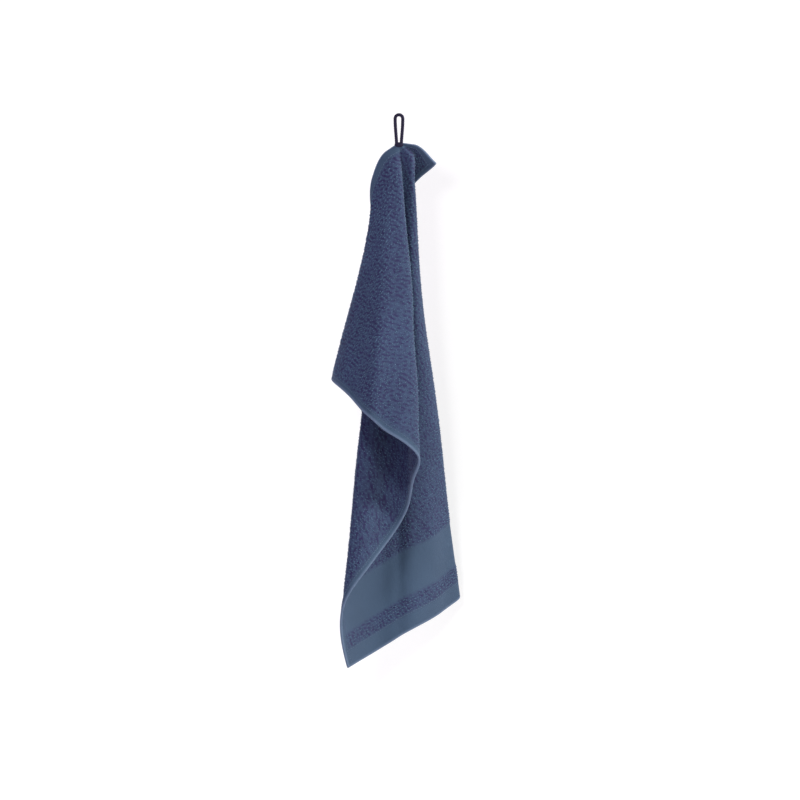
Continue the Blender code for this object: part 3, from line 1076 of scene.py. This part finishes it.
class TOWEL_OT_stage(bpy.types.Operator):
    """Set the camera, soft lights, pale floor and one-sided pale backdrop"""

    bl_idname = "towel.stage"
    bl_label = "Stage"

    def execute(self, context):
        scene, stage = context.scene, context.scene.towel_stage
        scene.view_settings.view_transform = "Standard"
        camera_data = bpy.data.cameras.new("camera")
        camera_data.sensor_width = 36.0
        camera_data.lens = camera_data.sensor_width * stage.distance / stage.frame_width
        camera_data.clip_end = 30.0
        camera = bpy.data.objects.new("camera", camera_data)
        scene.collection.objects.link(camera)
        camera.location = np.array(stage.centre) - np.array([0.0, stage.distance, 0.0])
        camera.rotation_euler = (math.pi / 2, 0.0, 0.0)
        scene.camera = camera

        low, high = cad_box
        pale, _, _ = principled("Pale floor", Base_Color=(0.80, 0.80, 0.80, 1), Roughness=0.9)
        floor, half = low[2] - stage.floor_drop, 3
        stage_plane("floor", [(-half, -half, floor), (half, -half, floor), (half, half, floor),
                              (-half, half, floor)], pale)

        # The backdrop is seen from its front alone: from behind it is clear.
        card, tree, face = principled(
            "Pale backdrop", Base_Color=(0.38, 0.38, 0.38, 1), Roughness=1.0,
            Emission_Color=(0.985, 1.0, 0.975, 1), Emission_Strength=0.765,
            Specular_IOR_Level=0.0)
        either = mix_shader(tree, add_node(tree, "NewGeometry").outputs["Backfacing"],
                            face.outputs[0], add_node(tree, "BsdfTransparent").outputs[0])
        set_inputs(tree, tree.nodes["Material Output"], Surface=either)
        behind, half = high[1] + stage.wall_gap, 1.2
        backdrop = stage_plane("backdrop", [(-half, behind, floor), (half, behind, floor),
                                            (half, behind, half), (-half, behind, half)], card)
        backdrop.visible_shadow = False
        backdrop.visible_diffuse = False
        backdrop.visible_glossy = False

        # The world glows faintly on the towel, and the camera sees it white.
        scene.world = scene.world or bpy.data.worlds.new("studio")
        scene.world.use_nodes = True
        tree = scene.world.node_tree
        tree.nodes.clear()
        glow = add_node(tree, "Background", Color=(0.86, 0.50, 1.0, 1.0), Strength=0.16)
        seen = add_node(tree, "Background", Color=(1.0, 1.0, 1.0, 1.0))
        either = mix_shader(tree, add_node(tree, "LightPath").outputs["Is Camera Ray"],
                            glow.outputs[0], seen.outputs[0])
        add_node(tree, "OutputWorld", Surface=either)

        lights = {name: area_light(name, *words) for name, *words in LIGHTS}
        for name, state, members in LIGHT_LINKS:
            lit = bpy.data.collections.new(name)
            lit.objects.link(backdrop)
            lit.collection_objects[0].light_linking.link_state = state
            for light in members:
                lights[light].light_linking.receiver_collection = lit
        return {"FINISHED"}


class TOWEL_OT_declare(bpy.types.Operator):
    """An empty step: it does nothing and leaves the scene as it is"""

    bl_idname = "towel.declare"
    bl_label = "Declare the cloth"

    def execute(self, context):
        return {"FINISHED"}


OPERATORS = (
    TOWEL_OT_stage, TOWEL_OT_cloth, TOWEL_OT_pile, TOWEL_OT_stitching, TOWEL_OT_loop,
    TOWEL_OT_tack, TOWEL_OT_declare,
)
SETTINGS = (
    ("towel_sizes", TowelSizes),
    ("towel_pile", TowelPile),
    ("towel_loop", TowelLoop),
    ("towel_colours", TowelColours),
    ("towel_stage", TowelStage),
)


class TOWEL_PT_panel(bpy.types.Panel):
    """Sidebar panel that lists the towel's pieces and its settings"""

    bl_idname = "TOWEL_PT_panel"
    bl_label = "Hand towel"
    bl_space_type = "VIEW_3D"
    bl_region_type = "UI"
    bl_category = "Towel"

    def draw(self, context):
        for operator in OPERATORS:
            self.layout.operator(operator.bl_idname)
        for name, group in SETTINGS:
            box = self.layout.box()
            box.label(text=name.replace("_", " ").capitalize())
            for key in group.__annotations__:
                box.prop(getattr(context.scene, name), key)


CLASSES = (*(group for _, group in SETTINGS), *OPERATORS, TOWEL_PT_panel)


def register():
    for part in CLASSES:
        bpy.utils.register_class(part)
    for name, group in SETTINGS:
        setattr(bpy.types.Scene, name, bpy.props.PointerProperty(type=group))


def unregister():
    for name, _ in SETTINGS:
        delattr(bpy.types.Scene, name)
    for part in reversed(CLASSES):
        bpy.utils.unregister_class(part)


def main():
    register()
    bpy.ops.towel.stage()
    bpy.ops.towel.cloth()
    bpy.ops.towel.pile()
    bpy.ops.towel.stitching()
    bpy.ops.towel.loop()
    bpy.ops.towel.tack()
    bpy.ops.towel.declare()


if __name__ == "__main__":
    main()
